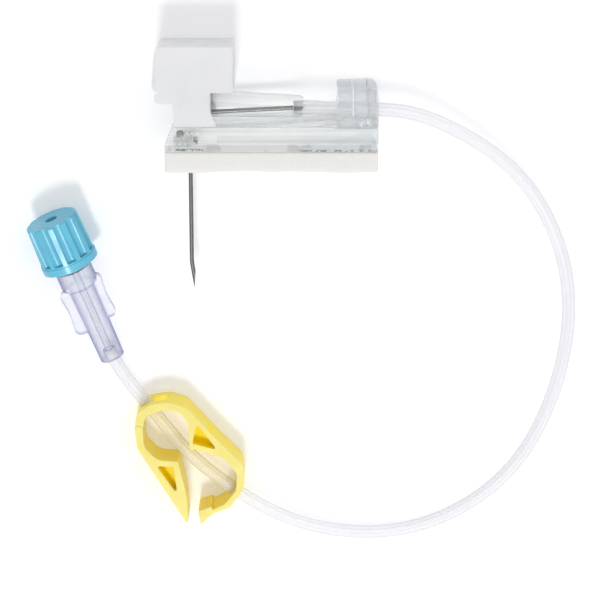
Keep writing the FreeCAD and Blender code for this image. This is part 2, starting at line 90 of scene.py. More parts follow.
class NeedleSetSizes(bpy.types.PropertyGroup):
    """Sizes of the two soft pieces made here"""
    tube_outer: FloatProperty(
        name="Tube outer diameter", description="Outer diameter of the tubing", default=0.0028,
        subtype="DISTANCE", unit="LENGTH")
    tube_inner: FloatProperty(
        name="Tube bore", description="Diameter of the tubing's bore", default=0.0012,
        subtype="DISTANCE", unit="LENGTH")
    pad_round: FloatProperty(
        name="Pad edge radius", description="Rounding of the foam pad's long edges", default=0.0007,
        subtype="DISTANCE", unit="LENGTH")
    pad_wave: FloatProperty(
        name="Pad waviness", description="How far the die-cut faces of the foam wander",
        default=0.00028, subtype="DISTANCE", unit="LENGTH")


class NeedleSetFinish(bpy.types.PropertyGroup):
    """Colours of the finishes"""
    steel: FloatVectorProperty(
        name="Steel", description="Colour of the needle and the clip", size=3, subtype="COLOR",
        default=(0.17, 0.17, 0.168))
    clear: FloatVectorProperty(
        name="Clear housing", description="Tint of the clear mouldings", size=3, subtype="COLOR",
        default=(0.63, 0.64, 0.64))
    frosted: FloatVectorProperty(
        name="Frosted grip", description="Colour of the frosted grip", size=3, subtype="COLOR",
        default=(0.93, 0.935, 0.965))
    foam: FloatVectorProperty(
        name="Foam", description="Colour of the foam pad", size=3, subtype="COLOR",
        default=(0.835, 0.83, 0.81))
    yellow: FloatVectorProperty(
        name="Clamp", description="Colour of the pinch clamp", size=3, subtype="COLOR",
        default=(0.89, 0.79, 0.25))
    violet: FloatVectorProperty(
        name="Connector", description="Tint of the clear connector", size=3, subtype="COLOR",
        default=(0.69, 0.71, 0.80))
    blue: FloatVectorProperty(
        name="Cap", description="Colour of the luer cap", size=3, subtype="COLOR",
        default=(0.15, 0.56, 0.74))
    tube: FloatVectorProperty(
        name="Tubing", description="Tint of the tubing", size=3, subtype="COLOR",
        default=(0.94, 0.94, 0.965))


class NeedleSetStage(bpy.types.PropertyGroup):
    """Camera, lamps and sky"""
    camera_tilt: FloatProperty(
        name="Camera tilt", description="Lean of the view away from straight down, from the +Y side",
        default=math.radians(15.0), subtype="ANGLE", unit="ROTATION")
    camera_distance: FloatProperty(
        name="Camera distance", description="From the camera to the table", default=0.45,
        subtype="DISTANCE", unit="LENGTH")
    frame_width: FloatProperty(
        name="Frame width", description="Width of the view at the table", default=0.129,
        subtype="DISTANCE", unit="LENGTH")
    look_at: FloatVectorProperty(
        name="Look at", description="Point of the table at the middle of the view", size=3,
        default=(0.00725, -0.03095, 0.0), subtype="XYZ", unit="LENGTH")
    key_watts: FloatProperty(name="Key light", description="Power of the key light", default=4.6)
    fill_watts: FloatProperty(name="Fill light", description="Power of the fill light", default=1.2)
    sky: FloatProperty(name="Sky", description="Strength of the plain sky", default=0.66)


# Node groups


def new_group(name, inputs, outputs):
    """An empty shader node group with its sockets, and its input and output nodes."""
    group = bpy.data.node_groups.new(name, "ShaderNodeTree")
    for label, kind, default in inputs:
        socket = group.interface.new_socket(label, in_out="INPUT", socket_type=kind)
        socket.default_value = default
    for label, kind in outputs:
        group.interface.new_socket(label, in_out="OUTPUT", socket_type=kind)
    return group, group.nodes.new("NodeGroupInput"), group.nodes.new("NodeGroupOutput")


def moulded_relief_group():
    """Normals of a moulded face: slow sink marks and a fine surface grain, added as heights."""
    group, inlet, outlet = new_group(
        "moulded_relief",
        [("Vector", "NodeSocketVector", (0, 0, 0)), ("Sink scale", "NodeSocketFloat", 300.0),
         ("Sink", "NodeSocketFloat", 0.5), ("Grain scale", "NodeSocketFloat", 4000.0),
         ("Grain", "NodeSocketFloat", 0.2), ("Depth", "NodeSocketFloat", 0.00005)],
        [("Normal", "NodeSocketVector"), ("Height", "NodeSocketFloat")])
    links = group.links
    sink, grain = group.nodes.new("ShaderNodeTexNoise"), group.nodes.new("ShaderNodeTexNoise")
    sink.inputs["Detail"].default_value = 1.0
    grain.inputs["Detail"].default_value = 3.0
    for texture, scale in ((sink, "Sink scale"), (grain, "Grain scale")):
        links.new(inlet.outputs["Vector"], texture.inputs["Vector"])
        links.new(inlet.outputs[scale], texture.inputs["Scale"])
    slow, fine, total = (group.nodes.new("ShaderNodeMath") for _ in range(3))
    slow.operation = fine.operation = "MULTIPLY"
    links.new(sink.outputs["Fac"], slow.inputs[0])
    links.new(inlet.outputs["Sink"], slow.inputs[1])
    links.new(grain.outputs["Fac"], fine.inputs[0])
    links.new(inlet.outputs["Grain"], fine.inputs[1])
    links.new(slow.outputs[0], total.inputs[0])
    links.new(fine.outputs[0], total.inputs[1])
    bump = group.nodes.new("ShaderNodeBump")
    bump.inputs["Strength"].default_value = 1.0
    links.new(inlet.outputs["Depth"], bump.inputs["Distance"])
    links.new(total.outputs[0], bump.inputs["Height"])
    links.new(bump.outputs["Normal"], outlet.inputs["Normal"])
    links.new(total.outputs[0], outlet.inputs["Height"])
    return group


def tone_group():
    """Colour that wanders a little between two tones, and a mask of the same wander."""
    group, inlet, outlet = new_group(
        "tone_wander",
        [("Vector", "NodeSocketVector", (0, 0, 0)), ("Scale", "NodeSocketFloat", 200.0),
         ("First", "NodeSocketColor", (1, 1, 1, 1)), ("Second", "NodeSocketColor", (0, 0, 0, 1)),
         ("Low", "NodeSocketFloat", 0.3), ("High", "NodeSocketFloat", 0.7)],
        [("Color", "NodeSocketColor"), ("Mask", "NodeSocketFloat")])
    links = group.links
    noise = group.nodes.new("ShaderNodeTexNoise")
    noise.inputs["Detail"].default_value = 3.0
    spread = group.nodes.new("ShaderNodeMapRange")
    mix = group.nodes.new("ShaderNodeMix")
    mix.data_type = "RGBA"
    links.new(inlet.outputs["Vector"], noise.inputs["Vector"])
    links.new(inlet.outputs["Scale"], noise.inputs["Scale"])
    links.new(noise.outputs["Fac"], spread.inputs["Value"])
    links.new(inlet.outputs["Low"], spread.inputs["From Min"])
    links.new(inlet.outputs["High"], spread.inputs["From Max"])
    links.new(spread.outputs["Result"], mix.inputs["Factor"])
    links.new(inlet.outputs["First"], mix.inputs["A"])
    links.new(inlet.outputs["Second"], mix.inputs["B"])
    links.new(mix.outputs["Result"], outlet.inputs["Color"])
    links.new(spread.outputs["Result"], outlet.inputs["Mask"])
    return group


def foam_cell_group():
    """Open foam cells: distance to the nearest cell wall at two sizes, as a height and a mask."""
    group, inlet, outlet = new_group(
        "foam_cells",
        [("Vector", "NodeSocketVector", (0, 0, 0)), ("Scale", "NodeSocketFloat", 3000.0),
         ("Depth", "NodeSocketFloat", 0.0001)],
        [("Normal", "NodeSocketVector"), ("Mask", "NodeSocketFloat")])
    links = group.links
    large, small = group.nodes.new("ShaderNodeTexVoronoi"), group.nodes.new("ShaderNodeTexVoronoi")
    doubled = group.nodes.new("ShaderNodeMath")
    doubled.operation = "MULTIPLY"
    doubled.inputs[1].default_value = 2.3
    links.new(inlet.outputs["Scale"], doubled.inputs[0])
    for cells in (large, small):
        links.new(inlet.outputs["Vector"], cells.inputs["Vector"])
    links.new(inlet.outputs["Scale"], large.inputs["Scale"])
    links.new(doubled.outputs[0], small.inputs["Scale"])
    total = group.nodes.new("ShaderNodeMath")
    links.new(large.outputs["Distance"], total.inputs[0])
    links.new(small.outputs["Distance"], total.inputs[1])
    bump = group.nodes.new("ShaderNodeBump")
    links.new(inlet.outputs["Depth"], bump.inputs["Distance"])
    links.new(total.outputs[0], bump.inputs["Height"])
    links.new(bump.outputs["Normal"], outlet.inputs["Normal"])
    links.new(large.outputs["Distance"], outlet.inputs["Mask"])
    return group


def lines_and_streaks_group():
    """Fine lines along a piece, noise stretched along it, as a mask: on drawn or extruded tubing the lines
    it has, on the clear mouldings painted streaks of reflection.
    """
    group, inlet, outlet = new_group(
        "drawn_lines_and_reflection_streaks",
        [("Vector", "NodeSocketVector", (0, 0, 0)), ("Along", "NodeSocketFloat", 1.0),
         ("Across", "NodeSocketFloat", 20.0), ("Low", "NodeSocketFloat", 0.4),
         ("High", "NodeSocketFloat", 0.6), ("Depth", "NodeSocketFloat", 0.00001)],
        [("Mask", "NodeSocketFloat"), ("Normal", "NodeSocketVector")])
    links = group.links
    scale, stretch = group.nodes.new("ShaderNodeCombineXYZ"), group.nodes.new("ShaderNodeVectorMath")
    stretch.operation = "MULTIPLY"
    noise, spread = group.nodes.new("ShaderNodeTexNoise"), group.nodes.new("ShaderNodeMapRange")
    noise.inputs["Scale"].default_value = 1.0
    noise.inputs["Detail"].default_value = 2.0
    bump = group.nodes.new("ShaderNodeBump")
    links.new(inlet.outputs["Along"], scale.inputs["X"])
    links.new(inlet.outputs["Across"], scale.inputs["Y"])
    links.new(inlet.outputs["Vector"], stretch.inputs[0])
    links.new(scale.outputs[0], stretch.inputs[1])
    links.new(stretch.outputs[0], noise.inputs["Vector"])
    links.new(noise.outputs["Fac"], spread.inputs["Value"])
    links.new(inlet.outputs["Low"], spread.inputs["From Min"])
    links.new(inlet.outputs["High"], spread.inputs["From Max"])
    links.new(inlet.outputs["Depth"], bump.inputs["Distance"])
    links.new(spread.outputs["Result"], bump.inputs["Height"])
    links.new(spread.outputs["Result"], outlet.inputs["Mask"])
    links.new(bump.outputs["Normal"], outlet.inputs["Normal"])
    return group


def rising_band_group():
    """A mask below a soft edge that rises smoothly along X, from one Y to another."""
    group, inlet, outlet = new_group(
        "rising_band",
        [("Vector", "NodeSocketVector", (0, 0, 0)), ("Start", "NodeSocketFloat", 0.0),
         ("End", "NodeSocketFloat", 1.0), ("Low edge", "NodeSocketFloat", 0.0),
         ("High edge", "NodeSocketFloat", 1.0), ("Softness", "NodeSocketFloat", 0.001)],
        [("Mask", "NodeSocketFloat")])
    links = group.links
    parts, rise = group.nodes.new("ShaderNodeSeparateXYZ"), group.nodes.new("ShaderNodeMapRange")
    rise.interpolation_type = "SMOOTHSTEP"
    below, spread = group.nodes.new("ShaderNodeMath"), group.nodes.new("ShaderNodeMapRange")
    below.operation = "SUBTRACT"
    links.new(inlet.outputs["Vector"], parts.inputs[0])
    links.new(parts.outputs["X"], rise.inputs["Value"])
    links.new(inlet.outputs["Start"], rise.inputs["From Min"])
    links.new(inlet.outputs["End"], rise.inputs["From Max"])
    links.new(inlet.outputs["Low edge"], rise.inputs["To Min"])
    links.new(inlet.outputs["High edge"], rise.inputs["To Max"])
    links.new(rise.outputs["Result"], below.inputs[0])
    links.new(parts.outputs["Y"], below.inputs[1])
    links.new(below.outputs[0], spread.inputs["Value"])
    links.new(inlet.outputs["Softness"], spread.inputs["From Max"])
    links.new(spread.outputs["Result"], outlet.inputs["Mask"])
    return group


def soft_box_group():
    """A mask inside a box given by its centre and half sizes, with soft edges."""
    group, inlet, outlet = new_group(
        "soft_box",
        [("Vector", "NodeSocketVector", (0, 0, 0)), ("Centre", "NodeSocketVector", (0, 0, 0)),
         ("Half", "NodeSocketVector", (1, 1, 1)), ("Softness", "NodeSocketFloat", 0.0002)],
        [("Mask", "NodeSocketFloat")])
    links = group.links
    offset, size, left = (group.nodes.new("ShaderNodeVectorMath") for _ in range(3))
    offset.operation = left.operation = "SUBTRACT"
    size.operation = "ABSOLUTE"
    parts = group.nodes.new("ShaderNodeSeparateXYZ")
    flat, least = (group.nodes.new("ShaderNodeMath") for _ in range(2))
    flat.operation = least.operation = "MINIMUM"
    spread = group.nodes.new("ShaderNodeMapRange")
    links.new(inlet.outputs["Vector"], offset.inputs[0])
    links.new(inlet.outputs["Centre"], offset.inputs[1])
    links.new(offset.outputs[0], size.inputs[0])
    links.new(inlet.outputs["Half"], left.inputs[0])
    links.new(size.outputs[0], left.inputs[1])
    links.new(left.outputs[0], parts.inputs[0])
    links.new(parts.outputs["X"], flat.inputs[0])
    links.new(parts.outputs["Y"], flat.inputs[1])
    links.new(flat.outputs[0], least.inputs[0])
    links.new(parts.outputs["Z"], least.inputs[1])
    links.new(least.outputs[0], spread.inputs["Value"])
    links.new(inlet.outputs["Softness"], spread.inputs["From Max"])
    links.new(spread.outputs["Result"], outlet.inputs["Mask"])
    return group


GROUP_MAKERS = {
    "moulded_relief": moulded_relief_group, "tone_wander": tone_group,
    "foam_cells": foam_cell_group, "drawn_lines_and_reflection_streaks": lines_and_streaks_group,
    "rising_band": rising_band_group, "soft_box": soft_box_group,
}
made_groups = {}


def shared_group(name):
    """The node group of this name, made when it is first needed."""
    if name not in made_groups:
        made_groups[name] = GROUP_MAKERS[name]()
    return made_groups[name]


# Materials

# How much of its body a clear piece loses inside its thin box
THINNED = 0.85
# The surface of the clear mouldings, and how rough it is between the wander's two tones
CLEAR_RELIEF = {"Sink_scale": 320.0, "Sink": 0.5, "Grain_scale": 5000.0, "Grain": 0.02, "Depth": 0.00004}
CLEAR_ROUGHNESS = (0.1, 0.22)
# The guard's painted shade: deeper below an edge that rises from low to high between two places along X
BAND_EDGE = {"Start": 0.004, "End": 0.024, "Low_edge": 0.0046, "High_edge": 0.0088, "Softness": 0.0007}


class Finish:
    """One material with its shader, fed by the shared node groups on Object coordinates."""

    def __init__(self, name):
        self.material = bpy.data.materials.new(name)
        self.material.use_nodes = True
        self.tree = self.material.node_tree
        self.shader = self.tree.nodes["Principled BSDF"]
        self.place = self.tree.nodes.new("ShaderNodeTexCoord")

    def set(self, **values):
        """Sets the shader's inputs, named with underscores for spaces."""
        for label, value in values.items():
            self.shader.inputs[label.replace("_", " ").title().replace("Ior", "IOR")].default_value = value
        return self

    def feed(self, label, socket):
        """Links an output to the shader's input of this name."""
        self.tree.links.new(socket, self.shader.inputs[label])

    def add(self, group_name, **values):
        """A shared node group in this material, with its inputs set."""
        node = self.tree.nodes.new("ShaderNodeGroup")
        node.node_tree = shared_group(group_name)
        self.tree.links.new(self.place.outputs["Object"], node.inputs["Vector"])
        for label, value in values.items():
            node.inputs[label.replace("_", " ").capitalize()].default_value = value
        return node

    def relief(self, **values):
        """Sink marks and surface grain in the shader's normal."""
        self.feed("Normal", self.add("moulded_relief", **values).outputs["Normal"])

    def tone(self, first, second, scale):
        """A base colour that wanders between two tones."""
        node = self.add("tone_wander", Scale=scale, Low=0.3, High=0.7,
                        First=(*first, 1), Second=(*second, 1))
        self.feed("Base Color", node.outputs["Color"])
        return node

    def roughness_from(self, socket, low, high):
        """Roughness between two values, led by a mask."""
        spread = self.tree.nodes.new("ShaderNodeMapRange")
        spread.inputs["To Min"].default_value = low
        spread.inputs["To Max"].default_value = high
        self.tree.links.new(socket, spread.inputs["Value"])
        self.feed("Roughness", spread.outputs["Result"])

    def turned(self, blend, low, high, soften=None):
        """How far the surface turns from the view, stretched between two values to 0 and 1.

        Softened, a face near its edge counts as rounded over that distance.
        """
        facing, spread = (self.tree.nodes.new(kind) for kind in (
            "ShaderNodeLayerWeight", "ShaderNodeMapRange"))
        facing.inputs["Blend"].default_value = blend
        spread.inputs["From Min"].default_value, spread.inputs["From Max"].default_value = low, high
        if soften is not None:
            rounded = self.tree.nodes.new("ShaderNodeBevel")
            rounded.inputs["Radius"].default_value = soften
            self.tree.links.new(rounded.outputs["Normal"], facing.inputs["Normal"])
        self.tree.links.new(facing.outputs["Facing"], spread.inputs["Value"])
        return spread.outputs["Result"]

    def painted_edge_shade(self, before, edge, how_far):
        """Paints shade at the edges: multiplies a colour output by the edge colour where the surface turns
        from the view.
        """
        self.feed("Base Color", self.mixed(before, edge, how_far, "MULTIPLY"))

    def mixed(self, before, second, mask, kind="MIX"):
        """A colour output mixed with a second colour by a mask."""
        mix = self.tree.nodes.new("ShaderNodeMix")
        mix.data_type, mix.blend_type = "RGBA", kind
        mix.inputs["B"].default_value = (*second, 1)
        self.tree.links.new(mask, mix.inputs["Factor"])
        self.tree.links.new(before, mix.inputs["A"])
        return mix.outputs["Result"]

    def worked(self, operation, first, second):
        """One value socket worked out from two."""
        node = self.tree.nodes.new("ShaderNodeMath")
        node.operation = operation
        for socket, value in zip(node.inputs, (first, second)):
            if isinstance(value, (int, float)):
                socket.default_value = value
            else:
                self.tree.links.new(value, socket)
        return node.outputs[0]

    def patch(self, centre, half, speckle=None, softness=0.0002):
        """A mask inside a soft box given in millimetres, broken up by noise if a speckle is given."""
        box = self.add("soft_box", Centre=[c * MM for c in centre], Half=[h * MM for h in half],
                       Softness=softness)
        if speckle is None:
            return box.outputs["Mask"]
        scale, low, high = speckle
        noise = self.add("tone_wander", Scale=scale, Low=low, High=high)
        return self.worked("MULTIPLY", box.outputs["Mask"], noise.outputs["Mask"])

    def density(self, body, how_far, thin=None, marks=()):
        """How solid a clear face looks: the first share face on, the second edge on.

        Inside the thin mask it looks far less solid, and each mark is as solid as its weight.
        """
        solid = self.worked("ADD", self.worked("MULTIPLY", how_far, body[1] - body[0]), body[0])
        if thin is not None:
            left = self.worked("SUBTRACT", 1.0, self.worked("MULTIPLY", thin, THINNED))
            solid = self.worked("MULTIPLY", solid, left)
        for mask, weight in marks:
            solid = self.worked("MAXIMUM", solid, self.worked("MULTIPLY", mask, weight))
        self.feed("Alpha", solid)

    def let_light_through(self, tint):
        """Lamps shine through with this tint instead of leaving a black shadow."""
        path = self.tree.nodes.new("ShaderNodeLightPath")
        open_way = self.tree.nodes.new("ShaderNodeBsdfTransparent")
        open_way.inputs["Color"].default_value = (*tint, 1)
        mix = self.tree.nodes.new("ShaderNodeMixShader")
        out = self.tree.nodes["Material Output"]
        self.tree.links.new(path.outputs["Is Shadow Ray"], mix.inputs["Fac"])
        self.tree.links.new(self.shader.outputs[0], mix.inputs[1])
        self.tree.links.new(open_way.outputs[0], mix.inputs[2])
        self.tree.links.new(mix.outputs[0], out.inputs["Surface"])


def scaled(colour, by):
    """A colour made lighter or darker by a factor, no channel past full."""
    return tuple(min(1.0, c * by) for c in colour)


def steel_finish(colours):
    """Drawn steel: dark and fairly smooth, with its glint stretched along the piece."""
    finish = Finish("needle_steel").set(metallic=1.0, anisotropic=0.5)
    tone = finish.tone(colours.steel, scaled(colours.steel, 0.75), 900.0)
    finish.roughness_from(tone.outputs["Mask"], 0.22, 0.36)
    finish.relief(Sink_scale=600.0, Sink=0.3, Grain_scale=9000.0, Grain=0.1, Depth=0.000006)
    return finish.material


def clear_finish(name, tint, edge, body, reflection_streak=None, shade_band=None, thin=None, patches=(), soften=None,
                 shine=0.5):
    """Clear plastic seen straight through: a thin pale body, denser where a face turns away.

    Painted streaks of reflection run along X in a second tone, and painted shade deepens the colour below
    a rising edge;
    where a face turns from the view its edges get painted shade. A patch is a box with its speckle, its
    tone and how solid it looks, and thin is a box that looks less so.
    """
    finish = Finish(name).set(ior=1.5, specular_ior_level=shine)
    tone = finish.tone(tint, scaled(tint, 0.95), 260.0)
    colour = tone.outputs["Color"]
    # painted reflection: streaks along X in a second tone
    if reflection_streak:
        lines = finish.add("drawn_lines_and_reflection_streaks", Along=22.0, Across=1500.0, Low=0.45, High=0.68)
        colour = finish.mixed(colour, reflection_streak, lines.outputs["Mask"])
    # painted shade: the colour darkened below a rising edge
    if shade_band:
        below = finish.add("rising_band", **BAND_EDGE)
        colour = finish.mixed(colour, shade_band, below.outputs["Mask"], "MULTIPLY")
    marks = []
    for centre, half, speckle, patch_tone, weight in patches:
        mask = finish.patch(centre, half, speckle)
        colour = finish.mixed(colour, patch_tone, mask)
        marks.append((mask, weight))
    clearer = None if thin is None else finish.patch(*thin, softness=0.001)
    if soften is None:
        darkened, solid = finish.turned(0.2, 0.0, 1.0), finish.turned(0.2, 0.0, 0.6)
    else:
        darkened = solid = finish.turned(0.5, 0.18, 0.6, soften)
    # painted shade at the edges, where a face turns from the view
    finish.painted_edge_shade(colour, edge, darkened)
    finish.density(body, solid, clearer, marks)
    finish.roughness_from(tone.outputs["Mask"], *CLEAR_ROUGHNESS)
    finish.relief(**CLEAR_RELIEF)
    finish.let_light_through((0.96, 0.96, 0.96))
    return finish.material


def inner_finish(tint):
    """The clear arm inside the others: mostly glass that bends light little, with a pale body."""
    finish = Finish("clear_inner_arm").set(transmission_weight=0.88, ior=1.06)
    tone = finish.tone(scaled(tint, 1.45), scaled(tint, 1.38), 260.0)
    # painted shade at the edges, where a face turns from the view
    finish.painted_edge_shade(tone.outputs["Color"], (0.7, 0.72, 0.75), finish.turned(0.2, 0.0, 1.0))
    finish.roughness_from(tone.outputs["Mask"], 0.04, 0.12)
    finish.relief(**CLEAR_RELIEF)
    return finish.material


def tube_finish(colours):
    """Soft extruded vinyl: milky, with painted shade at its edges and fine lines along its length.

    Inside the clamp it is painted yellow, standing in for light thrown off the clamp's walls; in the hub
    it is painted pale, standing in for light the clear faces there keep out, and the needle's end shows in
    it.
    """
    finish = Finish("tube_vinyl").set(ior=1.45, roughness=0.2, specular_ior_level=0.3)
    drawn = finish.add("drawn_lines_and_reflection_streaks", Along=3.0, Across=6.0, Low=0.35, High=0.7, Depth=0.0000005)
    route = finish.tree.nodes.new("ShaderNodeUVMap")
    route.uv_map = "along_around"
    finish.tree.links.new(route.outputs["UV"], drawn.inputs["Vector"])
    tone = finish.tree.nodes.new("ShaderNodeMix")
    tone.data_type = "RGBA"
    tone.inputs["A"].default_value = (*colours.tube, 1)
    tone.inputs["B"].default_value = (*scaled(colours.tube, 0.97), 1)
    finish.tree.links.new(drawn.outputs["Mask"], tone.inputs["Factor"])
    # painted light: yellow thrown off the clamp's walls onto the tube inside the clamp
    painted_clamp_light = finish.patch((-18.0, -62.5, 4.0), (9.5, 10.5, 8.0), softness=0.002)
    colour = finish.mixed(tone.outputs["Result"], (1.0, 0.95, 0.72), painted_clamp_light, "MULTIPLY")
    # painted light: a pale tone where the tube sits in the hub, standing in for light the clear faces
    # there keep out
    painted_light_in_hub = finish.patch((6.0, 12.07, 7.0), (2.1, 2.0, 2.0))
    steel_end = finish.patch((6.0, 12.07, 7.0), (2.0, 0.55, 3.0))
    colour = finish.mixed(colour, (0.84, 0.86, 0.88), painted_light_in_hub)
    colour = finish.mixed(colour, scaled(colours.steel, 0.9), steel_end)
    # painted shade at the edges, where the tube turns from the view
    finish.painted_edge_shade(colour, (0.55, 0.55, 0.6), finish.turned(0.2, 0.0, 1.0))
    finish.density((0.26, 0.9), finish.turned(0.2, 0.0, 0.6),
                   marks=((painted_light_in_hub, 0.7), (steel_end, 1.0)))
    finish.feed("Normal", drawn.outputs["Normal"])
    finish.let_light_through((0.86, 0.86, 0.88))
    return finish.material


def frosted_finish(colours):
    """Frosted plastic: milky, with a matt fine-grained face."""
    finish = Finish("frosted_grip").set(
        transmission_weight=0.25, ior=1.45, subsurface_weight=0.5, subsurface_scale=0.002,
        specular_ior_level=0.2)
    finish.shader.inputs["Subsurface Radius"].default_value = (1.0, 1.0, 1.0)
    tone = finish.tone(colours.frosted, scaled(colours.frosted, 0.97), 180.0)
    finish.roughness_from(tone.outputs["Mask"], 0.42, 0.55)
    finish.relief(Sink_scale=240.0, Sink=0.6, Grain_scale=6000.0, Grain=0.12, Depth=0.00006)
    return finish.material


def foam_finish(colours):
    """Fine open foam with no shine."""
    finish = Finish("pad_foam").set(
        subsurface_weight=0.4, subsurface_scale=0.0015, roughness=0.9, sheen_weight=0.15)
    finish.tone(colours.foam, scaled(colours.foam, 0.96), 2200.0)
    finish.shader.inputs["Subsurface Radius"].default_value = (1.0, 0.95, 0.9)
    cells = finish.add("foam_cells", Scale=2600.0, Depth=0.00006)
    finish.feed("Normal", cells.outputs["Normal"])
    return finish.material


def moulded_finish(name, colour, dark, roughness, subsurface, edge, shine=0.5, patches=()):
    """Coloured moulded plastic that light enters a little, with painted shade at its edges and in its
    patches.
    """
    finish = Finish(name).set(
        subsurface_weight=subsurface, subsurface_scale=0.0012, ior=1.46, specular_ior_level=shine)
    finish.shader.inputs["Subsurface Radius"].default_value = tuple(c + 0.1 for c in colour)
    tone = finish.tone(colour, scaled(colour, dark), 220.0)
    shade = tone.outputs["Color"]
    # painted shade: each patch deepens the tone in a hollow, as light bounced between walls would
    for centre, half, patch_tone in patches:
        shade = finish.mixed(shade, patch_tone, finish.patch(centre, half, softness=0.0004))
    # painted shade at the edges, where the surface turns from the view
    finish.painted_edge_shade(shade, edge, finish.turned(0.3, 0.0, 1.0))
    finish.roughness_from(tone.outputs["Mask"], *roughness)
    finish.relief(Sink_scale=260.0, Sink=0.5, Grain_scale=7000.0, Grain=0.12, Depth=0.00005)
    return finish.material


def put_on(obj, material):
    """Gives an object one material, in a single slot that all its faces use."""
    obj.data.materials.clear()
    obj.data.materials.append(material)
    for polygon in obj.data.polygons:
        polygon.material_index = 0


# Surfaces


def grid_object(name, points, close_rows=False, close_cols=False, poles=(None, None)):
    """A mesh over a grid of points, rows by columns by three.

    Each cell between neighbouring rows and columns is a quad; either way can close on itself,
    and a pole point can close the open end before the first row or after the last one.
    """
    rows, cols = points.shape[:2]
    index = np.arange(rows * cols).reshape(rows, cols)
    down = np.roll(index, -1, 0) if close_rows else index[1:]
    top = index if close_rows else index[:-1]
    if close_cols:
        right_top, right_down = np.roll(top, -1, 1), np.roll(down, -1, 1)
    else:
        top, right_top = top[:, :-1], top[:, 1:]
        down, right_down = down[:, :-1], down[:, 1:]
    quads = np.stack([top, right_top, right_down, down], -1).reshape(-1, 4)
    vertices = points.reshape(-1, 3)
    faces = quads.tolist()
    for end, pole in enumerate(poles):
        if pole is None:
            continue
        ring = index[0] if end == 0 else index[-1]
        vertices = np.vstack([vertices, np.asarray(pole, float)[None]])
        hub = np.full(cols, len(vertices) - 1)
        after = np.roll(ring, -1)
        order = [hub, after, ring] if end == 0 else [hub, ring, after]
        faces += np.stack(order, -1).tolist()
    mesh = bpy.data.meshes.new(name)
    mesh.from_pydata(vertices.tolist(), [], faces)
    mesh.validate()
    mesh.polygons.foreach_set("use_smooth", np.ones(len(mesh.polygons), bool))
    obj = bpy.data.objects.new(name, mesh)
    bpy.context.scene.collection.objects.link(obj)
    outward(obj)
    return obj


def name_places(obj, name, first, second):
    """Writes two numbers per vertex into a UV map, for the material to read."""
    layer = obj.data.uv_layers.new(name=name)
    corner = np.empty(len(obj.data.loops), int)
    obj.data.loops.foreach_get("vertex_index", corner)
    layer.data.foreach_set("uv", np.stack([first[corner], second[corner]], -1).ravel())


def outward(obj):
    """Turns a closed mesh so that its faces point out: its signed volume comes out positive."""
    mesh = obj.data
    mesh.calc_loop_triangles()
    corners = np.empty(len(mesh.vertices) * 3)
    mesh.vertices.foreach_get("co", corners)
    corners = corners.reshape(-1, 3)
    triangles = np.empty(len(mesh.loop_triangles) * 3, int)
    mesh.loop_triangles.foreach_get("vertices", triangles)
    a, b, c = corners[triangles.reshape(-1, 3)].transpose(1, 0, 2)
    if np.einsum("ij,ij->i", a, np.cross(b, c)).sum() < 0:
        mesh.flip_normals()


def rounded_rectangle(x0, x1, y0, y1, radius, per_corner):
    """Closed outline of a rectangle whose corners are quarter circles of the given radius."""
    turns = np.linspace(0, math.pi / 2, per_corner)
    parts = []
    for k, (cx, cy) in enumerate(((x1 - radius, y1 - radius), (x0 + radius, y1 - radius),
                                  (x0 + radius, y0 + radius), (x1 - radius, y0 + radius))):
        angle = turns + k * math.pi / 2
        parts.append(np.stack([cx + radius * np.cos(angle), cy + radius * np.sin(angle)], -1))
    return np.concatenate(parts)


# Operators


def settings():
    """The scene's sizes, finishes and stage, as set in the sidebar."""
    scene = bpy.context.scene
    return scene.needle_set_sizes, scene.needle_set_finish, scene.needle_set_stage


class NEEDLESET_OT_steel(bpy.types.Operator):
    """Finish the bent needle and the tip clip in drawn steel"""
    bl_idname = "needleset.steel"
    bl_label = "Needle and clip"

    def execute(self, context):
        _, colours, _ = settings()
        material = steel_finish(colours)
        for name in ("needle_cannula", "tip_clip"):
            put_on(nodes[name], material)
        return {"FINISHED"}


# Seen in the guard: its front edge in two stretches, the clip's clear lugs, its window and the
# edges of its slots, a dark strip along the plate by the clip, and a dark line along the foam that is
# painted shade, as seen there through the clear plate. Each patch has its centre and half size in mm,
# its speckle (scale, low, high) or none, its tone and how solid it looks
GUARD_PATCHES = (
    ((-6.0, 4.9, 7.0), (15.0, 1.0, 10.0), (300.0, 0.1, 0.5), (0.88, 0.89, 0.89), 0.55),
    ((16.0, 4.9, 7.0), (8.0, 1.0, 10.0), (300.0, 0.1, 0.5), (0.80, 0.83, 0.85), 0.6),
    ((-16.6, 6.4, 7.0), (2.0, 1.4, 10.0), (1500.0, 0.35, 0.65), (0.50, 0.56, 0.54), 0.55),
    ((-11.6, 6.7, 7.0), (2.05, 1.0, 10.0), None, (0.90, 0.90, 0.87), 0.5),
    ((-15.7, 8.2, 7.0), (1.7, 0.4, 10.0), (1900.0, 0.5, 0.6), (0.16, 0.17, 0.16), 0.8),
    ((-14.1, 6.4, 7.0), (0.5, 0.9, 10.0), (1900.0, 0.42, 0.5), (0.18, 0.19, 0.18), 0.8),
    ((-15.4, 4.5, 7.0), (3.0, 0.35, 10.0), (1900.0, 0.46, 0.55), (0.14, 0.15, 0.14), 0.85),
    # painted shade: a dark line along the foam, as seen through the clear plate
    ((15.0, 4.3, 7.0), (8.2, 0.35, 10.0), (1500.0, 0.48, 0.54), (0.25, 0.28, 0.28), 0.8),
)

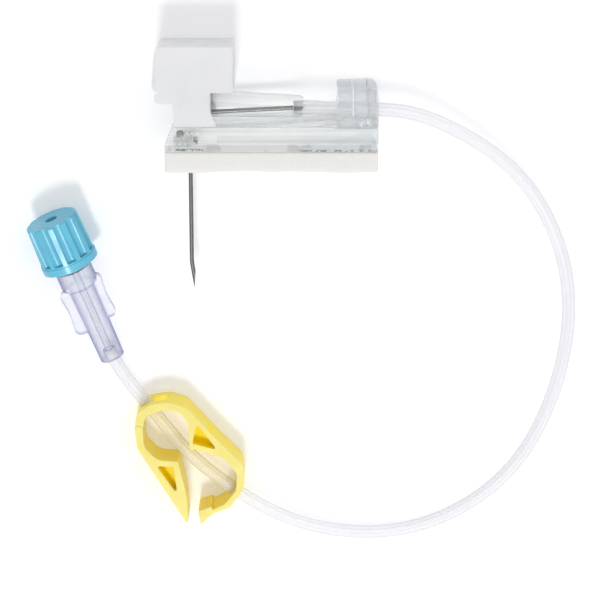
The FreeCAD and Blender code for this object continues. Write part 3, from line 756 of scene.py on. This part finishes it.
# Seen in the arm's rear cheeks: their bluish body, two wall lines, and a painted glint by the elbow pin
ARM_PATCHES = (
    ((19.4, 13.0, 7.0), (4.7, 6.0, 10.0), (500.0, 0.25, 0.75), (0.60, 0.655, 0.69), 0.36),
    ((18.1, 14.4, 7.0), (0.26, 3.2, 10.0), None, (0.80, 0.84, 0.87), 0.6),
    ((21.2, 14.0, 7.0), (0.26, 3.4, 10.0), None, (0.42, 0.46, 0.49), 0.45),
    # painted highlight: a white glint by the elbow pin
    ((20.9, 10.2, 7.0), (0.45, 0.4, 10.0), None, (1.0, 1.0, 1.0), 0.95),
)

# The box in which the arm's rails look thinner than its cheeks, as centre and half size in mm
ARM_RAILS = ((-12.0, 12.0, 7.0), (20.5, 20.0, 20.0))


class NEEDLESET_OT_housing(bpy.types.Operator):
    """Finish the hub, the two arms and the guard housing in clear plastic"""
    bl_idname = "needleset.housing"
    bl_label = "Clear housing"

    def execute(self, context):
        _, colours, _ = settings()
        # the guard and the arm carry painted streaks of reflection, and the guard painted shade below a
        # rising edge
        guard = clear_finish(
            "clear_guard", scaled(colours.clear, 1.5), edge=(0.82, 0.85, 0.86), body=(0.38, 0.62),
            reflection_streak=scaled(colours.clear, 1.08), shade_band=(0.86, 0.9, 0.92), patches=GUARD_PATCHES)
        put_on(nodes["base_platform"], guard)
        arm = clear_finish(
            "clear_arm", scaled(colours.clear, 1.25), edge=(0.7, 0.73, 0.75), body=(0.24, 0.6),
            reflection_streak=scaled(colours.clear, 0.86), patches=ARM_PATCHES, thin=ARM_RAILS)
        put_on(nodes["upper_arm"], arm)
        hub = clear_finish(
            "clear_hub", scaled(colours.clear, 1.2), edge=(0.6, 0.62, 0.64), body=(0.03, 0.6))
        put_on(nodes["needle_hub"], hub)
        put_on(nodes["lower_arm"], inner_finish(colours.clear))
        # light passes only so many clear faces, and these pieces stand many faces deep
        for name in ("needle_hub", "lower_arm"):
            nodes[name].visible_shadow = False
        return {"FINISHED"}


class NEEDLESET_OT_grip(bpy.types.Operator):
    """Finish the grip in frosted plastic"""
    bl_idname = "needleset.grip"
    bl_label = "Frosted grip"

    def execute(self, context):
        _, colours, _ = settings()
        put_on(nodes["grip_handle"], frosted_finish(colours))
        return {"FINISHED"}


# The pad's upright corners, and the points round its outline, its edges and its height
PAD_CORNER = 0.0004
PAD_AROUND = 260
PAD_EDGE_STEPS = 7
PAD_HEIGHT_STEPS = 16


def pad_points(low, high, radius, wave):
    """Points of the foam pad.

    The outline in the XY plane is a rounded rectangle; across Z it is drawn in towards its own
    middle at both ends by a quarter circle of the edge radius, and the long faces wander by a sum
    of three sines of X and Z.
    """
    outline = rounded_rectangle(low[0], high[0], low[1], high[1], PAD_CORNER, per_corner=8)
    # more points along the straight stretches, so the wander has somewhere to live
    closed = np.vstack([outline, outline[:1]])
    length = np.r_[0, np.cumsum(np.linalg.norm(np.diff(closed, axis=0), axis=1))]
    at = np.unique(np.r_[length[:-1], np.linspace(0, length[-1], PAD_AROUND)[:-1]])
    outline = np.stack([np.interp(at, length, closed[:, k]) for k in range(2)], -1)
    middle = np.array([(low[0] + high[0]) / 2, (low[1] + high[1]) / 2])
    half = (np.array([high[0], high[1]]) - np.array([low[0], low[1]])) / 2
    turn = np.linspace(0, math.pi / 2, PAD_EDGE_STEPS)
    upright = np.linspace(low[2] + radius, high[2] - radius, PAD_HEIGHT_STEPS)[1:-1]
    drawn = np.r_[radius * (1 - np.sin(turn)), np.zeros(len(upright)), radius * (1 - np.cos(turn))]
    height = np.r_[low[2] + radius * (1 - np.cos(turn)), upright, high[2] - radius * (1 - np.sin(turn))]
    shrink = 1 - drawn[:, None] / half[None, :]
    xy = middle + (outline - middle)[None, :, :] * shrink[:, None, :]
    x, y = xy[..., 0], xy[..., 1]
    z = np.repeat(height[:, None], len(outline), 1)
    side = np.clip((y - middle[1]) / half[1], -1, 1)
    wander = (np.sin(x * 190 + z * 120) + 0.7 * np.sin(x * 410 + 1.3 - z * 260)
              + 0.4 * np.sin(x * 900 + z * 700 + 0.4)) / 2.1
    y = y + wave * wander * np.where(side < 0, -side, 0)
    return np.stack([x, y, z], -1), (middle[0], middle[1])


class NEEDLESET_OT_foam(bpy.types.Operator):
    """Make the foam pad with softly rounded, slightly wavy faces"""
    bl_idname = "needleset.foam"
    bl_label = "Foam pad"

    def execute(self, context):
        sizes, colours, _ = settings()
        low, high = (np.array(corner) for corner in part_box("foam_pad"))
        low[1] += sizes.pad_wave
        points, middle = pad_points(low, high, sizes.pad_round, sizes.pad_wave)
        pad = grid_object("pad_foam", points, close_cols=True,
                          poles=((*middle, low[2]), (*middle, high[2])))
        put_on(pad, foam_finish(colours))
        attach(pad, GUARD_BODY)
        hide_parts("foam_pad")
        # its shadow would only fall inside the clear housing, which scatters light of its own
        pad.visible_shadow = False
        return {"FINISHED"}


def route_points(resolution):
    """Points along the tubing's smooth line, read from a NURBS curve on its route."""
    curve = bpy.data.curves.new("tube_route", "CURVE")
    curve.dimensions = "3D"
    curve.resolution_u = resolution
    spline = curve.splines.new("NURBS")
    spline.points.add(len(TUBE_ROUTE) - 1)
    for point, place in zip(spline.points, TUBE_ROUTE):
        point.co = (*place, 1.0)
    spline.order_u = 3
    spline.use_endpoint_u = True
    line = bpy.data.objects.new("tube_route", curve)
    bpy.context.scene.collection.objects.link(line)
    bpy.context.view_layer.update()
    mesh = bpy.data.meshes.new_from_object(line)
    points = np.empty(len(mesh.vertices) * 3)
    mesh.vertices.foreach_get("co", points)
    bpy.data.objects.remove(line)
    bpy.data.curves.remove(curve)
    bpy.data.meshes.remove(mesh)
    return points.reshape(-1, 3)


def carried_rings(path, radius, sides):
    """Rings of a radius carried along a path.

    At each point the ring lies across the path's direction, with its zero angle as near to up as
    that allows, so the rings never twist against each other.
    """
    ahead = np.gradient(path, axis=0)
    ahead /= np.linalg.norm(ahead, axis=1, keepdims=True)
    up = np.array([0.0, 0.0, 1.0]) - ahead * ahead[:, 2:3]
    up /= np.linalg.norm(up, axis=1, keepdims=True)
    across = np.cross(ahead, up)
    angle = np.linspace(0, 2 * math.pi, sides, endpoint=False)
    return path[:, None] + radius * (np.cos(angle)[None, :, None] * up[:, None]
                                     + np.sin(angle)[None, :, None] * across[:, None])


class NEEDLESET_OT_tubing(bpy.types.Operator):
    """Make the tubing as a hollow tube along its smooth route"""
    bl_idname = "needleset.tubing"
    bl_label = "Tubing"

    def execute(self, context):
        sizes, colours, _ = settings()
        path = route_points(ROUTE_STEPS)
        outer = carried_rings(path, sizes.tube_outer / 2, TUBE_SIDES)
        inner = carried_rings(path, sizes.tube_inner / 2, TUBE_SIDES)[::-1]
        tube = grid_object("tube_line", np.concatenate([outer, inner]),
                           close_rows=True, close_cols=True)
        along = np.repeat(np.linspace(0, 1, len(path)), TUBE_SIDES)
        around = np.tile(np.linspace(0, 1, TUBE_SIDES, endpoint=False), len(path))
        name_places(tube, "along_around", np.r_[along, along[::-1]],
                    2 * np.abs(np.r_[around, around] - 0.5))
        put_on(tube, tube_finish(colours))
        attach(tube, LINE_BODY)
        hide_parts("tubing")
        return {"FINISHED"}


# Painted shade: a deeper yellow between the clamp's walls, where light bounces among them, and deepest in
# its two pockets
CLAMP_PAINTED_SHADE = (
    ((-19.0, -60.0, 3.0), (16.0, 20.0, 4.8), (0.98, 0.79, 0.13)),
    ((-13.9, -60.4, 5.0), (2.4, 2.6, 2.85), (1.0, 0.79, 0.0)),
    ((-21.3, -68.2, 5.0), (2.0, 2.8, 2.85), (1.0, 0.79, 0.0)),
)


class NEEDLESET_OT_clamp(bpy.types.Operator):
    """Finish the pinch clamp in moulded yellow plastic"""
    bl_idname = "needleset.clamp"
    bl_label = "Pinch clamp"

    def execute(self, context):
        _, colours, _ = settings()
        material = moulded_finish(
            "clamp_yellow", colours.yellow, dark=0.93, roughness=(0.3, 0.42), subsurface=0.35,
            edge=(1.0, 0.99, 0.95), shine=0.1, patches=CLAMP_PAINTED_SHADE)
        for name in ("clamp_frame", "clamp_jaw"):
            put_on(nodes[name], material)
        return {"FINISHED"}


class NEEDLESET_OT_connector(bpy.types.Operator):
    """Finish the luer connector in clear plastic with a violet tint"""
    bl_idname = "needleset.connector"
    bl_label = "Luer connector"

    def execute(self, context):
        _, colours, _ = settings()
        material = clear_finish(
            "clear_connector", colours.violet, edge=(0.34, 0.35, 0.66), body=(0.32, 0.6),
            soften=0.00045, shine=0.1)
        put_on(nodes["luer_connector"], material)
        return {"FINISHED"}


class NEEDLESET_OT_cap(bpy.types.Operator):
    """Finish the fluted luer cap in moulded blue plastic"""
    bl_idname = "needleset.cap"
    bl_label = "Luer cap"

    def execute(self, context):
        _, colours, _ = settings()
        material = moulded_finish(
            "cap_blue", colours.blue, dark=0.9, roughness=(0.22, 0.34), subsurface=0.25,
            edge=(0.45, 0.7, 0.8))
        put_on(nodes["luer_cap"], material)
        return {"FINISHED"}


# The floor reaches this far each way and lies this far under the set, and glows a little
FLOOR_REACH = 2.0
FLOOR_DROP = 0.00003
FLOOR_GLOW = 0.17
# Where the two lamps stand, and how wide they are
KEY_PLACE, KEY_SIZE = (-0.06, -0.52, 1.0), 0.18
FILL_PLACE, FILL_SIZE = (0.5, 0.4, 0.9), 0.9


class NEEDLESET_OT_stage(bpy.types.Operator):
    """Set the plain floor, the soft lights and the camera"""
    bl_idname = "needleset.stage"
    bl_label = "Stage"

    def execute(self, context):
        _, _, stage = settings()
        self.camera(context, stage)
        self.floor(context)
        self.lights(context, stage)
        context.scene.view_settings.view_transform = "Standard"
        return {"FINISHED"}

    def camera(self, context, stage):
        data = bpy.data.cameras.new("camera")
        data.sensor_width = 36.0
        data.lens = 36.0 * stage.camera_distance / stage.frame_width
        data.clip_start = 0.01
        lean, target = stage.camera_tilt, Vector(stage.look_at)
        back = Vector((0, math.sin(lean), math.cos(lean)))
        up = Vector((0, math.cos(lean), -math.sin(lean)))
        turned = Matrix((Vector((1, 0, 0)), up, back)).transposed().to_4x4()
        camera = bpy.data.objects.new("camera", data)
        camera.matrix_world = Matrix.Translation(target + back * stage.camera_distance) @ turned
        context.scene.collection.objects.link(camera)
        context.scene.camera = camera

    def either(self, tree, *kinds):
        """One where the ray is of any of these kinds, else zero."""
        path = tree.nodes.new("ShaderNodeLightPath")
        seen = path.outputs[kinds[0]]
        for kind in kinds[1:]:
            most = tree.nodes.new("ShaderNodeMath")
            most.operation = "MAXIMUM"
            tree.links.new(seen, most.inputs[0])
            tree.links.new(path.outputs[kind], most.inputs[1])
            seen = most.outputs[0]
        return seen

    def floor(self, context):
        corners = [(x * FLOOR_REACH, y * FLOOR_REACH, -FLOOR_DROP) for y in (-1, 1) for x in (-1, 1)]
        mesh = bpy.data.meshes.new("floor")
        mesh.from_pydata(corners, [], [(0, 1, 3, 2)])
        floor = bpy.data.objects.new("floor", mesh)
        context.scene.collection.objects.link(floor)
        material = bpy.data.materials.new("floor_white")
        material.use_nodes = True
        tree = material.node_tree
        shader, out = tree.nodes["Principled BSDF"], tree.nodes["Material Output"]
        shader.inputs["Base Color"].default_value = (0.86, 0.86, 0.87, 1)
        shader.inputs["Roughness"].default_value = 0.8
        shader.inputs["Specular IOR Level"].default_value = 0.1
        glow = tree.nodes.new("ShaderNodeEmission")
        glow.inputs["Color"].default_value = (1, 1, 1, 1)
        glow.inputs["Strength"].default_value = FLOOR_GLOW
        total = tree.nodes.new("ShaderNodeAddShader")
        tree.links.new(shader.outputs[0], total.inputs[0])
        tree.links.new(glow.outputs[0], total.inputs[1])
        tree.links.new(total.outputs[0], out.inputs["Surface"])
        mesh.materials.append(material)

    def lights(self, context, stage):
        for name, watts, size, place in (
                ("key", stage.key_watts, KEY_SIZE, KEY_PLACE),
                ("fill", stage.fill_watts, FILL_SIZE, FILL_PLACE)):
            data = bpy.data.lights.new(name, "AREA")
            data.energy, data.size = watts, size
            lamp = bpy.data.objects.new(name, data)
            lamp.location = place
            # the key's glare through the clear pieces would hide their edges
            lamp.visible_transmission = name != "key"
            lamp.rotation_euler = Vector(place).to_track_quat("Z", "Y").to_euler()
            context.scene.collection.objects.link(lamp)
        world = bpy.data.worlds.new("sky")
        world.use_nodes = True
        tree = world.node_tree
        ground = tree.nodes["Background"]
        ground.inputs["Color"].default_value = (1, 1, 1, 1)
        strength = tree.nodes.new("ShaderNodeMix")
        strength.inputs["A"].default_value = stage.sky
        strength.inputs["B"].default_value = 1.0
        seen = self.either(tree, "Is Camera Ray", "Is Glossy Ray", "Is Transmission Ray")
        tree.links.new(seen, strength.inputs["Factor"])
        tree.links.new(strength.outputs["Result"], ground.inputs["Strength"])
        context.scene.world = world


PIECE_OPERATORS = (
    NEEDLESET_OT_steel, NEEDLESET_OT_housing, NEEDLESET_OT_grip, NEEDLESET_OT_foam,
    NEEDLESET_OT_tubing, NEEDLESET_OT_clamp, NEEDLESET_OT_connector, NEEDLESET_OT_cap,
    NEEDLESET_OT_stage,
)


class NEEDLESET_PT_sidebar(bpy.types.Panel):
    """Sizes, finishes and pieces of the needle set"""
    bl_idname = "NEEDLESET_PT_sidebar"
    bl_label = "Needle set"
    bl_space_type = "VIEW_3D"
    bl_region_type = "UI"
    bl_category = "Needle set"

    def draw(self, context):
        for group in settings():
            box = self.layout.box()
            for name in group.bl_rna.properties.keys():
                if name not in ("rna_type", "name"):
                    box.prop(group, name)
        for operator in PIECE_OPERATORS:
            self.layout.operator(operator.bl_idname)


CLASSES = (NeedleSetSizes, NeedleSetFinish, NeedleSetStage, *PIECE_OPERATORS, NEEDLESET_PT_sidebar)


def register():
    for cls in CLASSES:
        bpy.utils.register_class(cls)
    bpy.types.Scene.needle_set_sizes = PointerProperty(type=NeedleSetSizes)
    bpy.types.Scene.needle_set_finish = PointerProperty(type=NeedleSetFinish)
    bpy.types.Scene.needle_set_stage = PointerProperty(type=NeedleSetStage)


def unregister():
    del bpy.types.Scene.needle_set_stage
    del bpy.types.Scene.needle_set_finish
    del bpy.types.Scene.needle_set_sizes
    for cls in reversed(CLASSES):
        bpy.utils.unregister_class(cls)


def main():
    register()
    bpy.ops.needleset.stage()
    bpy.ops.needleset.steel()
    bpy.ops.needleset.housing()
    bpy.ops.needleset.grip()
    bpy.ops.needleset.foam()
    bpy.ops.needleset.tubing()
    bpy.ops.needleset.clamp()
    bpy.ops.needleset.connector()
    bpy.ops.needleset.cap()
    bpy.context.view_layer.update()


if __name__ == "__main__":
    main()
